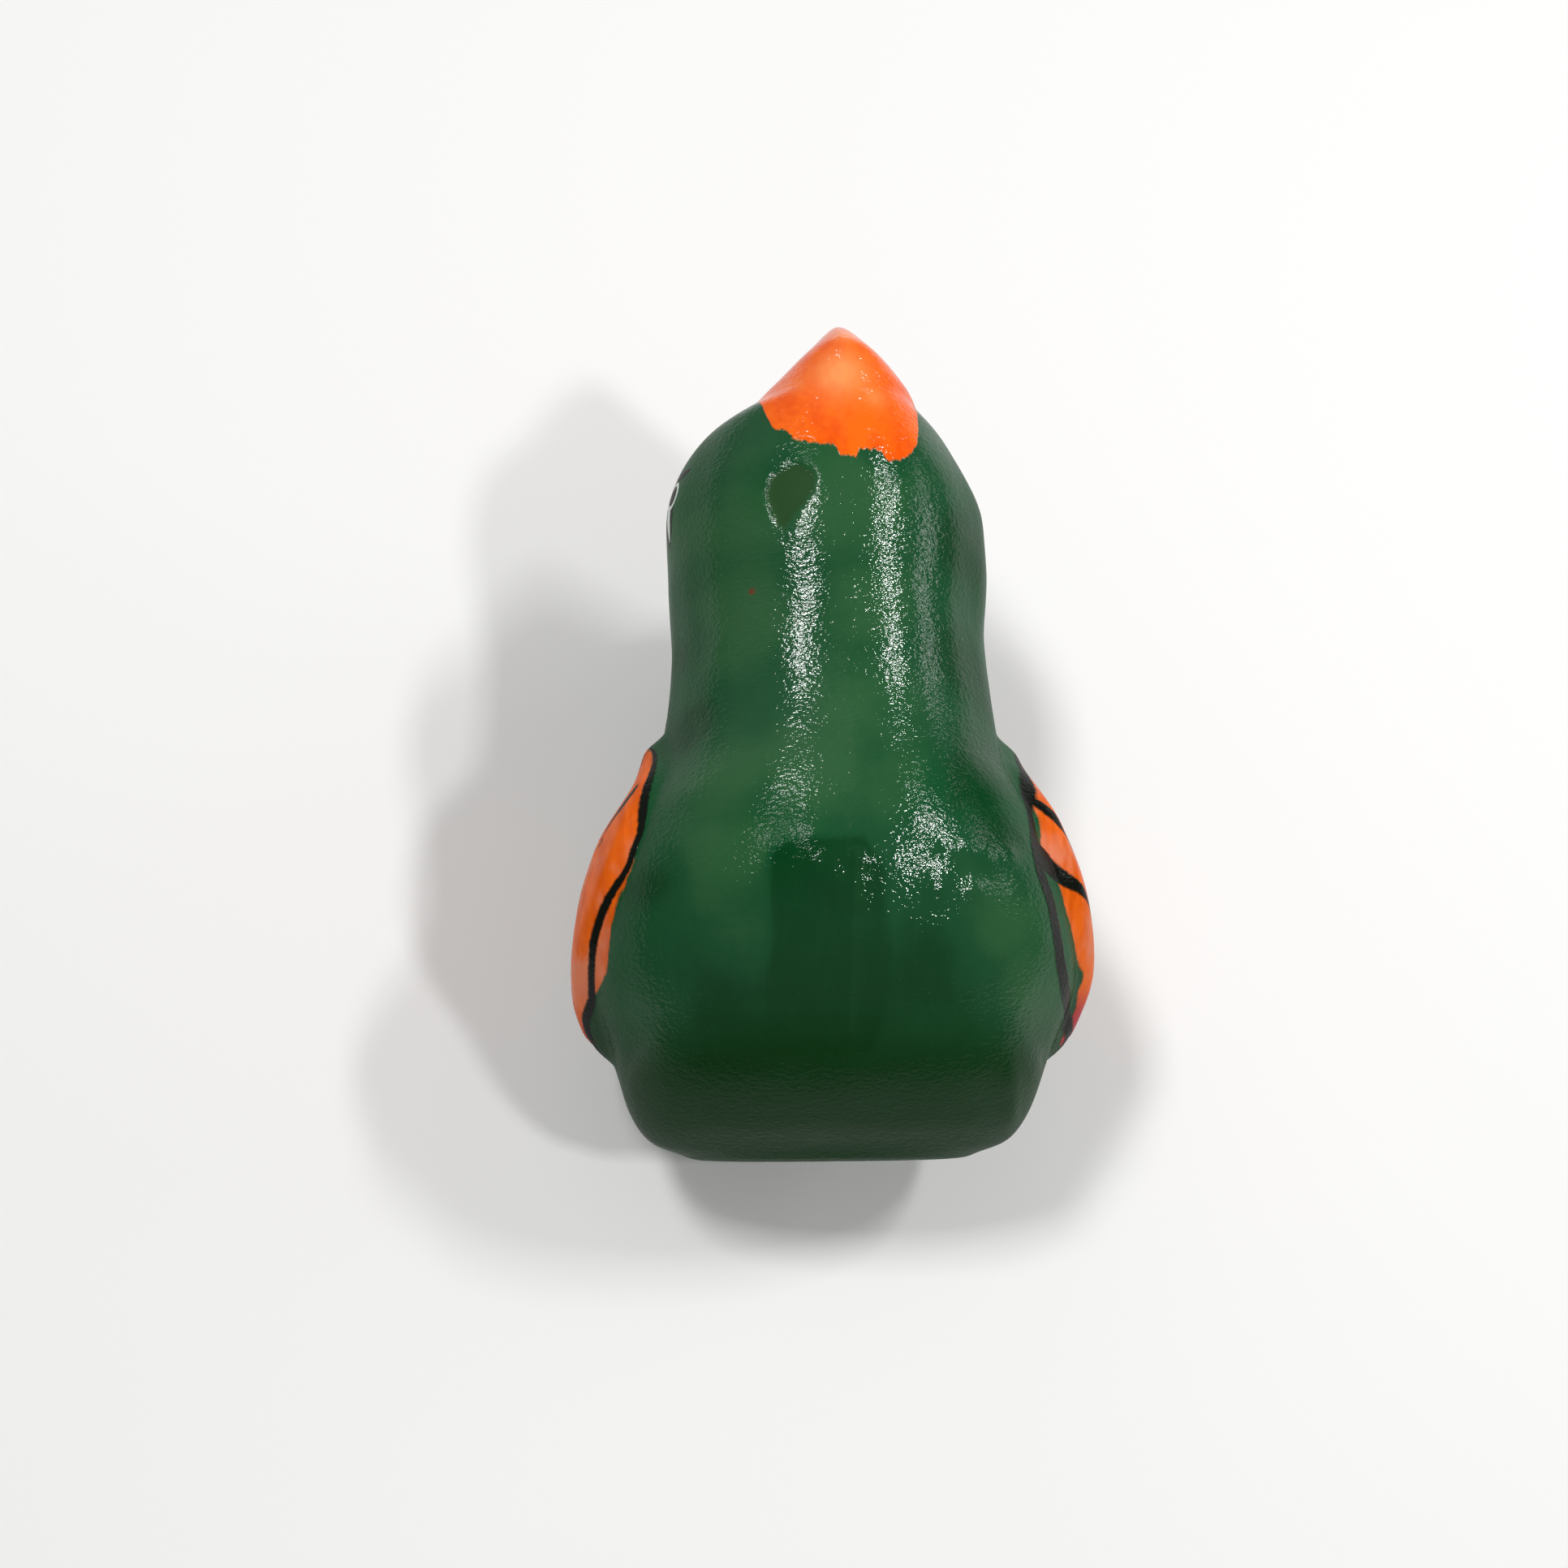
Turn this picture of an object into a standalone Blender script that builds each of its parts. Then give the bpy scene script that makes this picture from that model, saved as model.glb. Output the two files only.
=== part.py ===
"""A hollow clay bird whistle, moulded in one piece and painted.

The bird faces +Y, its back is up, and it rests on the flat patch under its belly, with z = 0 on that patch.
Its short broad tail is the mouthpiece. Air goes through a flat slot from the end of the tail to a window
under the rump, over the sharp far edge of the window, and into the egg-shaped chamber in the body.
"""

import math
from collections import namedtuple

import bmesh
import bpy
from mathutils import Vector

MM = 0.001

# Lengths along the bird, from the tail to the tip of the beak
TAIL_LENGTH = 6.4 * MM
BODY_LENGTH = 26.5 * MM
NECK_LENGTH = 8.0 * MM
HEAD_LENGTH = 16.6 * MM
BEAK_LENGTH = 5.6 * MM

# Widths
TAIL_WIDTH = 33.0 * MM
BODY_WIDTH = 38.2 * MM
NECK_WIDTH = 25.4 * MM
HEAD_WIDTH = 26.0 * MM
BEAK_WIDTH = 11.8 * MM

# Heights above the surface that the bird stands on
TAIL_TOP = 16.4 * MM
TAIL_UNDERSIDE = 7.2 * MM
RUMP_HEIGHT = 32.0 * MM
BACK_HEIGHT = 36.2 * MM
SADDLE_HEIGHT = 35.2 * MM
CROWN_HEIGHT = 37.9 * MM
BEAK_HEIGHT = 33.0 * MM
BEAK_DEPTH = 10.5 * MM
WING_HEIGHT = 19.0 * MM
WING_MIDDLE = 19.4 * MM
CHEEK_HEIGHT = 25.0 * MM
# How far the belly's round would reach below the flat patch
BELLY_SINK = 2.6 * MM

# The beak sits a little to the bird's right, as it was pinched by hand
BEAK_OFFSET = 0.5 * MM
TAIL_ROUND = 2.2 * MM
TAIL_BULGE = 1.2 * MM
TAIL_LEAN = math.radians(15)
# The lean of the tail's end fades out this far into the body
LEAN_REACH = 2.0 * MM

# The wings stand out from the flanks
WING_RELIEF = 1.4 * MM
WING_EDGE = 2.2 * MM
WING_LENGTH = 26.0 * MM
WING_DEPTH = 19.7 * MM
WING_SETBACK = 0.8 * MM

# The sounding parts
WALL = 4.0 * MM
CHAMBER_LENGTH = 29.0 * MM
WINDWAY_WIDTH = 8.0 * MM
WINDWAY_HEIGHT = 1.6 * MM
# The slot in the tail's end lies this far below the middle of the tail
WINDWAY_DROP = 0.6 * MM
# The windway reaches this far into the window
WINDWAY_OVERLAP = 0.5 * MM
WINDOW_LENGTH = 5.4 * MM
LABIUM_SETBACK = 7.0 * MM
LABIUM_THICKNESS = 1.2 * MM
LABIUM_OUTER_ANGLE = math.radians(52)
LABIUM_INNER_ANGLE = math.radians(20)

# How finely the surface is divided
RING_POINTS = 64
RING_SPACING = 1.1 * MM
ROUND_STEPS = 3
# The steepness at which the rounding of the tail's end meets its sides
ROUND_FROM = math.radians(45)
CUT_OVERLAP = 5.0 * MM

OVERALL_LENGTH = TAIL_LENGTH + BODY_LENGTH + NECK_LENGTH + HEAD_LENGTH + BEAK_LENGTH
TAIL_END_Y = -OVERALL_LENGTH / 2
TAIL_ROOT_Y = TAIL_END_Y + TAIL_LENGTH
SHOULDER_Y = TAIL_ROOT_Y + BODY_LENGTH
NAPE_Y = SHOULDER_Y + NECK_LENGTH
BEAK_ROOT_Y = NAPE_Y + HEAD_LENGTH
BEAK_TIP_Y = BEAK_ROOT_Y + BEAK_LENGTH

# One cross-section: its place along the bird, half its width, its rise above and its drop below the
# height where it is widest, that height, how square it is (2 is an ellipse) and its shift to the right.
Section = namedtuple("Section", "y half_width rise drop widest square shift")


def section(y, half_width, top, underside, widest, square=2.0, shift=0.0):
    return Section(y, half_width, top - widest, widest - underside, widest, square, shift)


def sections():
    """The cross-sections that the surface is drawn through, from the tail to the tip of the beak."""
    tail = TAIL_WIDTH / 2
    body = BODY_WIDTH / 2
    neck = NECK_WIDTH / 2
    head = HEAD_WIDTH / 2
    beak = BEAK_WIDTH / 2
    tail_middle = (TAIL_TOP + TAIL_UNDERSIDE) / 2
    belly = -BELLY_SINK
    return [
        section(TAIL_END_Y, tail - 4.6 * MM, TAIL_TOP, TAIL_UNDERSIDE, tail_middle, 2.4),
        section(TAIL_END_Y + 1.1 * MM, tail - 2.0 * MM, TAIL_TOP + 1.6 * MM, TAIL_UNDERSIDE - 0.6 * MM,
                tail_middle + 0.2 * MM, 2.6),
        section(TAIL_END_Y + 3.2 * MM, tail - 0.4 * MM, TAIL_TOP + 5.6 * MM, TAIL_UNDERSIDE - 1.4 * MM,
                tail_middle + 1 * MM, 2.6),
        section(TAIL_ROOT_Y, tail + 0.8 * MM, RUMP_HEIGHT - 3.8 * MM, TAIL_UNDERSIDE - 3.4 * MM,
                WING_HEIGHT - 4 * MM, 2.5),
        section(TAIL_ROOT_Y + 0.2 * BODY_LENGTH, body + 0.2 * MM, RUMP_HEIGHT + 1 * MM, belly + 2.6 * MM,
                WING_HEIGHT - 1 * MM, 2.3),
        section(TAIL_ROOT_Y + 0.42 * BODY_LENGTH, body, BACK_HEIGHT - 0.3 * MM, belly, WING_HEIGHT, 2.2),
        section(TAIL_ROOT_Y + 0.62 * BODY_LENGTH, body - 1.6 * MM, BACK_HEIGHT - 0.1 * MM, belly,
                WING_HEIGHT + 0.6 * MM, 2.15),
        section(TAIL_ROOT_Y + 0.82 * BODY_LENGTH, body - 4.7 * MM, SADDLE_HEIGHT + 0.3 * MM, belly,
                WING_HEIGHT + 1.8 * MM, 2.1),
        section(SHOULDER_Y, neck + 0.6 * MM, SADDLE_HEIGHT, belly, WING_HEIGHT + 3 * MM, 2.1),
        section(NAPE_Y - 2 * MM, neck, SADDLE_HEIGHT + 1 * MM, belly + 0.6 * MM, CHEEK_HEIGHT - 1.6 * MM),
        section(NAPE_Y + 0.22 * HEAD_LENGTH, head, CROWN_HEIGHT - 0.6 * MM, belly + 3 * MM,
                CHEEK_HEIGHT - 0.5 * MM),
        section(NAPE_Y + 0.52 * HEAD_LENGTH, head - 0.3 * MM, CROWN_HEIGHT, belly + 7.6 * MM, CHEEK_HEIGHT,
                2.0, -0.3 * MM),
        section(NAPE_Y + 0.79 * HEAD_LENGTH, head - 2.1 * MM, CROWN_HEIGHT - 0.3 * MM, belly + 14.5 * MM,
                CHEEK_HEIGHT + 0.6 * MM, 2.0, -0.5 * MM),
        section(BEAK_ROOT_Y - 1.4 * MM, beak + 1.8 * MM, CROWN_HEIGHT - 0.5 * MM,
                BEAK_HEIGHT - BEAK_DEPTH - 1.5 * MM, CHEEK_HEIGHT + 3 * MM, 2.0, 0.1 * MM),
        section(BEAK_ROOT_Y + 0.2 * MM, beak, CROWN_HEIGHT - 0.7 * MM,
                BEAK_HEIGHT - 0.72 * BEAK_DEPTH, BEAK_HEIGHT - 2.5 * MM, 2.0, BEAK_OFFSET),
        section(BEAK_ROOT_Y + 0.5 * BEAK_LENGTH, beak - 2.8 * MM, CROWN_HEIGHT - 1.2 * MM,
                BEAK_HEIGHT - 0.45 * BEAK_DEPTH, BEAK_HEIGHT - 1 * MM, 2.0, BEAK_OFFSET),
        section(BEAK_TIP_Y, 0.0, BEAK_HEIGHT, BEAK_HEIGHT, BEAK_HEIGHT, 2.0, BEAK_OFFSET),
    ]


def end_sections(rows):
    """The rows with one more before the tail and one more past the tip, which set the slope at both ends."""
    first, second = rows[0], rows[1]
    before = Section(*(2 * a - b for a, b in zip(first, second)))
    tip, last = rows[-1], rows[-2]
    after = Section(last.y, -last.half_width, -last.rise, -last.drop, 2 * tip.widest - last.widest,
                    last.square, last.shift)
    return [before, *rows, after]


def blend(rows, at):
    """The cross-section at a place between two of the given ones, on smooth curves through all of them."""
    low = min(int(at), len(rows) - 4)
    t = at - low
    p0, p1, p2, p3 = (rows[low + i] for i in range(4))
    return Section(*(
        0.5 * (2 * b + (c - a) * t + (2 * a - 5 * b + 4 * c - d) * t**2 + (3 * b - a - 3 * c + d) * t**3)
        for a, b, c, d in zip(p0, p1, p2, p3)
    ))


def wing_outline():
    """The wing's outline in side view, from the shoulder over the top to the pointed rear end and back."""
    front = SHOULDER_Y - WING_SETBACK
    half = WING_DEPTH / 2
    shape = [(0, 0.37), (0.1, 0.7), (0.23, 0.92), (0.4, 1.0), (0.56, 0.88), (0.71, 0.55), (0.85, 0.12),
             (1.0, -0.39), (0.88, -0.6), (0.71, -0.9), (0.48, -1.0), (0.25, -0.8), (0.1, -0.35)]
    return [(front - WING_LENGTH * along, WING_MIDDLE + half * up) for along, up in shape]


def inside_distance(y, z, outline):
    """How far a point in side view lies inside a closed outline; below zero when it is outside."""
    nearest = math.inf
    inside = False
    for (y0, z0), (y1, z1) in zip(outline, outline[1:] + outline[:1]):
        dy, dz = y1 - y0, z1 - z0
        t = max(0.0, min(1.0, ((y - y0) * dy + (z - z0) * dz) / (dy * dy + dz * dz)))
        nearest = min(nearest, math.hypot(y - y0 - t * dy, z - z0 - t * dz))
        if (z0 > z) != (z1 > z) and y < y0 + (z - z0) / dz * dy:
            inside = not inside
    return nearest if inside else -nearest


def smooth_step(value):
    value = max(0.0, min(1.0, value))
    return value * value * (3 - 2 * value)


def ring(row, outline, inset=0.0):
    """The points around one cross-section, with the wing's relief and the lean of the tail's end."""
    half_width = max(row.half_width - inset, 0.0)
    rise = max(row.rise - inset, 0.0)
    drop = max(row.drop - inset, 0.0)
    power = 2 / row.square
    leaning = smooth_step((TAIL_ROOT_Y + LEAN_REACH - row.y) / TAIL_LENGTH) * math.tan(TAIL_LEAN)
    points = []
    for i in range(RING_POINTS):
        angle = 2 * math.pi * i / RING_POINTS
        across = math.copysign(abs(math.cos(angle)) ** power, math.cos(angle))
        up = math.copysign(abs(math.sin(angle)) ** power, math.sin(angle))
        height = rise if up > 0 else drop
        x = half_width * across
        z = row.widest + height * up
        outward = Vector((across / half_width, 0, up / height)).normalized()
        raised = WING_RELIEF * smooth_step(inside_distance(row.y, z, outline) / WING_EDGE)
        y = row.y + leaning * (row.widest - z)
        points.append(Vector((x + row.shift, y, z)) + outward * raised)
    return points


def rings():
    """All rings of the surface, from the flat end of the tail to the last one before the tip."""
    rows = end_sections(sections())
    outline = wing_outline()
    end = rows[1]
    made = []
    for step in range(ROUND_STEPS):
        angle = ROUND_FROM + (math.pi / 2 - ROUND_FROM) * (1 - step / ROUND_STEPS)
        moved = end._replace(y=end.y - TAIL_BULGE * (math.sin(angle) - math.sin(ROUND_FROM)))
        made.append(ring(moved, outline, TAIL_ROUND * (math.cos(ROUND_FROM) - math.cos(angle))))
    for i in range(len(rows) - 3):
        a, b = rows[i + 1], rows[i + 2]
        span = math.hypot(b.y - a.y, b.half_width - a.half_width, b.rise - a.rise)
        steps = max(2, round(span / RING_SPACING))
        for step in range(steps):
            made.append(ring(blend(rows, i + step / steps), outline))
    return made


def new_object(name, bm):
    """An object from a mesh in the making, with its faces turned outwards."""
    bmesh.ops.recalc_face_normals(bm, faces=bm.faces)
    mesh = bpy.data.meshes.new(name)
    bm.to_mesh(mesh)
    bm.free()
    made = bpy.data.objects.new(name, mesh)
    bpy.context.scene.collection.objects.link(made)
    return made


def bird_form():
    """The bird's closed outer surface, cut flat under the belly."""
    bm = bmesh.new()
    loops = [[bm.verts.new(point) for point in points] for points in rings()]
    for first, second in zip(loops, loops[1:]):
        for i in range(RING_POINTS):
            j = (i + 1) % RING_POINTS
            bm.faces.new((first[i], first[j], second[j], second[i]))
    bm.faces.new(loops[0])
    tip = bm.verts.new((BEAK_OFFSET, BEAK_TIP_Y, BEAK_HEIGHT))
    last = loops[-1]
    for i in range(RING_POINTS):
        bm.faces.new((last[i], last[(i + 1) % RING_POINTS], tip))
    everything = [*bm.verts, *bm.edges, *bm.faces]
    bmesh.ops.bisect_plane(bm, geom=everything, plane_co=(0, 0, 0), plane_no=(0, 0, -1), clear_outer=True)
    rim = [edge for edge in bm.edges if edge.is_boundary]
    bmesh.ops.contextual_create(bm, geom=rim)
    return new_object("bird_whistle", bm)


def cutter(name, bm):
    made = new_object(name, bm)
    made.hide_render = True
    made.display_type = "WIRE"
    return made


def cut(target, tool):
    change = target.modifiers.new(tool.name, "BOOLEAN")
    change.operation = "DIFFERENCE"
    change.solver = "EXACT"
    change.object = tool


def prism(name, outline, width):
    """A cutter with this outline in side view, and this width across the bird."""
    bm = bmesh.new()
    left = [bm.verts.new((-width / 2, y, z)) for y, z in outline]
    right = [bm.verts.new((width / 2, y, z)) for y, z in outline]
    count = len(outline)
    for i in range(count):
        j = (i + 1) % count
        bm.faces.new((left[i], left[j], right[j], right[i]))
    bm.faces.new(left)
    bm.faces.new(right)
    return cutter(name, bm)


def along(point, angle, distance):
    """The point this far from another in side view; an angle of zero is forwards, and above zero is up."""
    return (point[0] + distance * math.cos(angle), point[1] + distance * math.sin(angle))


def cut_sounding_parts(bird):
    """The chamber, the window with its sharp edge, and the windway, each from the same sizes."""
    chamber_y = TAIL_ROOT_Y + BODY_LENGTH / 2
    chamber_z = BACK_HEIGHT / 2
    half = Vector((BODY_WIDTH / 2 - WALL, CHAMBER_LENGTH / 2, BACK_HEIGHT / 2 - WALL))

    bm = bmesh.new()
    bmesh.ops.create_uvsphere(bm, u_segments=32, v_segments=18, radius=1.0)
    bmesh.ops.scale(bm, vec=half, verts=bm.verts)
    bmesh.ops.translate(bm, vec=(0, chamber_y, chamber_z), verts=bm.verts)
    cut(bird, cutter("chamber", bm))

    floor = chamber_z - half.z * math.sqrt(1 - (LABIUM_SETBACK / half.y) ** 2)
    edge = (chamber_y - LABIUM_SETBACK, floor - LABIUM_THICKNESS)
    mouth = (TAIL_END_Y, (TAIL_TOP + TAIL_UNDERSIDE) / 2 - WINDWAY_DROP)
    windway_angle = math.atan2(edge[1] - mouth[1], edge[0] - mouth[0])

    rear = edge[0] - WINDOW_LENGTH
    window = [
        (rear, -CUT_OVERLAP),
        (rear, floor + WALL),
        along(edge, LABIUM_INNER_ANGLE, LABIUM_SETBACK),
        edge,
        along(edge, -LABIUM_OUTER_ANGLE, edge[1] / math.sin(LABIUM_OUTER_ANGLE) + CUT_OVERLAP),
    ]
    cut(bird, prism("window", window, WINDWAY_WIDTH))

    inner = along(edge, windway_angle + math.pi, WINDOW_LENGTH - WINDWAY_OVERLAP)
    outer = along(mouth, windway_angle + math.pi, CUT_OVERLAP)
    upright = windway_angle + math.pi / 2
    half_height = WINDWAY_HEIGHT / 2
    slot = [
        along(inner, upright, -half_height),
        along(inner, upright, half_height),
        along(outer, upright, half_height),
        along(outer, upright, -half_height),
    ]
    cut(bird, prism("windway", slot, WINDWAY_WIDTH))


def centre_lengthwise(bird):
    """Moves everything along the bird, so that the tail and the beak end equally far from the origin."""
    places = [vertex.co.y for vertex in bird.data.vertices]
    middle = (min(places) + max(places)) / 2
    for item in bpy.data.objects:
        item.location.y -= middle


def green_glaze():
    material = bpy.data.materials.new("painted_clay_green")
    material.use_nodes = True
    shader = material.node_tree.nodes["Principled BSDF"]
    shader.inputs["Base Color"].default_value = (0.020, 0.105, 0.035, 1)
    shader.inputs["Roughness"].default_value = 0.22
    shader.inputs["Metallic"].default_value = 0.0
    return material


def main():
    for old in list(bpy.data.objects):
        bpy.data.objects.remove(old, do_unlink=True)
    bird = bird_form()
    bird.data.materials.append(green_glaze())
    bird.data.shade_smooth()
    bird.data.set_sharp_from_angle(angle=math.radians(40))
    cut_sounding_parts(bird)
    centre_lengthwise(bird)


main()
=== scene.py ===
"""The painted and lacquered clay bird whistle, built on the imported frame.

The solid from the frame is replaced by the same form with a finer surface, which carries the mould's seam,
the dent in the crown, the lumps of the hand-finished clay and the brushed paint.
Lengths in the shape and paint sections are in millimetres; MM turns them into metres.
"""

import math
from collections import namedtuple

import bmesh
import bpy
import numpy as np
from mathutils import Matrix, Vector, noise


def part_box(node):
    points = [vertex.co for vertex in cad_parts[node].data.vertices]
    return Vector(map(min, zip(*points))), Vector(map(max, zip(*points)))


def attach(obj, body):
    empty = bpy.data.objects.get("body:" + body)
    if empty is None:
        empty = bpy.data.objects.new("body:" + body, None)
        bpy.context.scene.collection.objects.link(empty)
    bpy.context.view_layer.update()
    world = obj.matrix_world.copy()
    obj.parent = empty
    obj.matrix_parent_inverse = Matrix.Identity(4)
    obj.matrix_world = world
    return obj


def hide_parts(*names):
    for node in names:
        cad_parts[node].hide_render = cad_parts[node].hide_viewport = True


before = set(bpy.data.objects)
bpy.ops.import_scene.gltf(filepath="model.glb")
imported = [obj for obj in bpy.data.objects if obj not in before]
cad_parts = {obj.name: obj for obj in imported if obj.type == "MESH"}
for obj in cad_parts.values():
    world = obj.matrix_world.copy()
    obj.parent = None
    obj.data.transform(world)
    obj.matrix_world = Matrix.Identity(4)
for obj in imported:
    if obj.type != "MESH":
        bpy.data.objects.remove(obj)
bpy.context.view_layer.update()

MM = 0.001
BIRD_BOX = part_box("bird_whistle")

# Sizes of the form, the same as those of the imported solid
TAIL_LENGTH = 6.4
BODY_LENGTH = 26.5
NECK_LENGTH = 8.0
HEAD_LENGTH = 16.6
BEAK_LENGTH = 5.6
TAIL_WIDTH = 33.0
BODY_WIDTH = 38.2
NECK_WIDTH = 25.4
HEAD_WIDTH = 26.0
BEAK_WIDTH = 11.8
TAIL_TOP = 16.4
TAIL_UNDERSIDE = 7.2
RUMP_HEIGHT = 32.0
BACK_HEIGHT = 36.2
SADDLE_HEIGHT = 35.2
CROWN_HEIGHT = 37.9
BEAK_HEIGHT = 33.0
BEAK_DEPTH = 10.5
WING_HEIGHT = 19.0
WING_MIDDLE = 19.4
CHEEK_HEIGHT = 25.0
BELLY_SINK = 2.6
BEAK_OFFSET = 0.5
TAIL_ROUND = 2.2
TAIL_BULGE = 1.2
ROUND_FROM = math.radians(45)
TAIL_LEAN = math.radians(15)
LEAN_REACH = 2.0
WING_RELIEF = 1.4
WING_EDGE = 2.2
WING_LENGTH = 26.0
WING_DEPTH = 19.7
WING_SETBACK = 0.8
WALL = 4.0
CHAMBER_LENGTH = 29.0
WINDWAY_WIDTH = 8.0
WINDWAY_HEIGHT = 1.6
WINDWAY_DROP = 0.6
WINDWAY_OVERLAP = 0.5
WINDOW_LENGTH = 5.4
LABIUM_SETBACK = 7.0
LABIUM_THICKNESS = 1.2
LABIUM_OUTER_ANGLE = math.radians(52)
LABIUM_INNER_ANGLE = math.radians(20)
CUT_OVERLAP = 5.0

OVERALL_LENGTH = TAIL_LENGTH + BODY_LENGTH + NECK_LENGTH + HEAD_LENGTH + BEAK_LENGTH
TAIL_END_Y = BIRD_BOX[1][1] / MM - OVERALL_LENGTH
TAIL_ROOT_Y = TAIL_END_Y + TAIL_LENGTH
SHOULDER_Y = TAIL_ROOT_Y + BODY_LENGTH
NAPE_Y = SHOULDER_Y + NECK_LENGTH
BEAK_ROOT_Y = NAPE_Y + HEAD_LENGTH
BEAK_TIP_Y = BEAK_ROOT_Y + BEAK_LENGTH

# How finely the surface is divided
RING_POINTS = 272
RING_SPACING = 0.34
ROUND_STEPS = 6

Section = namedtuple("Section", "y half_width rise drop widest square shift")


def section(y, half_width, top, underside, widest, square=2.0, shift=0.0):
    return Section(y, half_width, top - widest, widest - underside, widest, square, shift)


def sections():
    """The cross-sections that the surface is drawn through, from the tail to the tip of the beak."""
    tail = TAIL_WIDTH / 2
    body = BODY_WIDTH / 2
    neck = NECK_WIDTH / 2
    head = HEAD_WIDTH / 2
    beak = BEAK_WIDTH / 2
    tail_middle = (TAIL_TOP + TAIL_UNDERSIDE) / 2
    belly = -BELLY_SINK
    return [
        section(TAIL_END_Y, tail - 4.6, TAIL_TOP, TAIL_UNDERSIDE, tail_middle, 2.4),
        section(TAIL_END_Y + 1.1, tail - 2.0, TAIL_TOP + 1.6, TAIL_UNDERSIDE - 0.6,
                tail_middle + 0.2, 2.6),
        section(TAIL_END_Y + 3.2, tail - 0.4, TAIL_TOP + 5.6, TAIL_UNDERSIDE - 1.4,
                tail_middle + 1, 2.6),
        section(TAIL_ROOT_Y, tail + 0.8, RUMP_HEIGHT - 3.8, TAIL_UNDERSIDE - 3.4,
                WING_HEIGHT - 4, 2.5),
        section(TAIL_ROOT_Y + 0.2 * BODY_LENGTH, body + 0.2, RUMP_HEIGHT + 1, belly + 2.6,
                WING_HEIGHT - 1, 2.3),
        section(TAIL_ROOT_Y + 0.42 * BODY_LENGTH, body, BACK_HEIGHT - 0.3, belly, WING_HEIGHT, 2.2),
        section(TAIL_ROOT_Y + 0.62 * BODY_LENGTH, body - 1.6, BACK_HEIGHT - 0.1, belly,
                WING_HEIGHT + 0.6, 2.15),
        section(TAIL_ROOT_Y + 0.82 * BODY_LENGTH, body - 4.7, SADDLE_HEIGHT + 0.3, belly,
                WING_HEIGHT + 1.8, 2.1),
        section(SHOULDER_Y, neck + 0.6, SADDLE_HEIGHT, belly, WING_HEIGHT + 3, 2.1),
        section(NAPE_Y - 2, neck, SADDLE_HEIGHT + 1, belly + 0.6, CHEEK_HEIGHT - 1.6),
        section(NAPE_Y + 0.22 * HEAD_LENGTH, head, CROWN_HEIGHT - 0.6, belly + 3,
                CHEEK_HEIGHT - 0.5),
        section(NAPE_Y + 0.52 * HEAD_LENGTH, head - 0.3, CROWN_HEIGHT, belly + 7.6, CHEEK_HEIGHT,
                2.0, -0.3),
        section(NAPE_Y + 0.79 * HEAD_LENGTH, head - 2.1, CROWN_HEIGHT - 0.3, belly + 14.5,
                CHEEK_HEIGHT + 0.6, 2.0, -0.5),
        section(BEAK_ROOT_Y - 1.4, beak + 1.8, CROWN_HEIGHT - 0.5,
                BEAK_HEIGHT - BEAK_DEPTH - 1.5, CHEEK_HEIGHT + 3, 2.0, 0.1),
        section(BEAK_ROOT_Y + 0.2, beak, CROWN_HEIGHT - 0.7,
                BEAK_HEIGHT - 0.72 * BEAK_DEPTH, BEAK_HEIGHT - 2.5, 2.0, BEAK_OFFSET),
        section(BEAK_ROOT_Y + 0.5 * BEAK_LENGTH, beak - 2.8, CROWN_HEIGHT - 1.2,
                BEAK_HEIGHT - 0.45 * BEAK_DEPTH, BEAK_HEIGHT - 1, 2.0, BEAK_OFFSET),
        section(BEAK_TIP_Y, 0.0, BEAK_HEIGHT, BEAK_HEIGHT, BEAK_HEIGHT, 2.0, BEAK_OFFSET),
    ]


def end_sections(rows):
    """The rows with one more before the tail and one past the tip, which set the slope at both ends."""
    first, second = rows[0], rows[1]
    before = Section(*(2 * a - b for a, b in zip(first, second)))
    tip, last = rows[-1], rows[-2]
    after = Section(last.y, -last.half_width, -last.rise, -last.drop, 2 * tip.widest - last.widest,
                    last.square, last.shift)
    return [before, *rows, after]


def curve(a, b, c, d, t):
    """A value on the smooth curve through four others: b where t is 0, and c where t is 1."""
    return 0.5 * (2 * b + (c - a) * t + (2 * a - 5 * b + 4 * c - d) * t**2 + (3 * b - a - 3 * c + d) * t**3)


def blend(rows, at):
    """The cross-section at a place between two of the given ones, on smooth curves through all of them."""
    low = min(int(at), len(rows) - 4)
    return Section(*(curve(*values, at - low) for values in zip(*rows[low:low + 4])))


def smooth_step(value):
    value = np.clip(value, 0.0, 1.0)
    return value * value * (3 - 2 * value)


def climb(value, start, end):
    """0 where the value is at start or short of it, and 1 at end or past it; end may be the lower one."""
    return smooth_step((value - start) / (end - start))


def to_segments(y, z, points, closed):
    """Distance to the nearest of a row of straight pieces, and how many pieces along the row that is."""
    ends = points[1:] + points[:1] if closed else points[1:]
    nearest = np.full(np.shape(y), np.inf)
    along = np.zeros(np.shape(y))
    for i, (start, end) in enumerate(zip(points, ends)):
        dy, dz = end[0] - start[0], end[1] - start[1]
        t = np.clip(((y - start[0]) * dy + (z - start[1]) * dz) / (dy * dy + dz * dz), 0, 1)
        distance = np.hypot(y - start[0] - t * dy, z - start[1] - t * dz)
        closer = distance < nearest
        nearest = np.where(closer, distance, nearest)
        along = np.where(closer, i + t, along)
    return nearest, along


def inside_distance(y, z, outline):
    """How far points lie inside a closed outline; below zero outside."""
    nearest, _ = to_segments(y, z, outline, True)
    inside = np.zeros(np.shape(y), bool)
    for (y0, z0), (y1, z1) in zip(outline, outline[1:] + outline[:1]):
        if z0 == z1:
            continue
        crosses = ((z0 > z) != (z1 > z)) & (y < y0 + (z - z0) / (z1 - z0) * (y1 - y0))
        inside ^= crosses
    return np.where(inside, nearest, -nearest)


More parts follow.
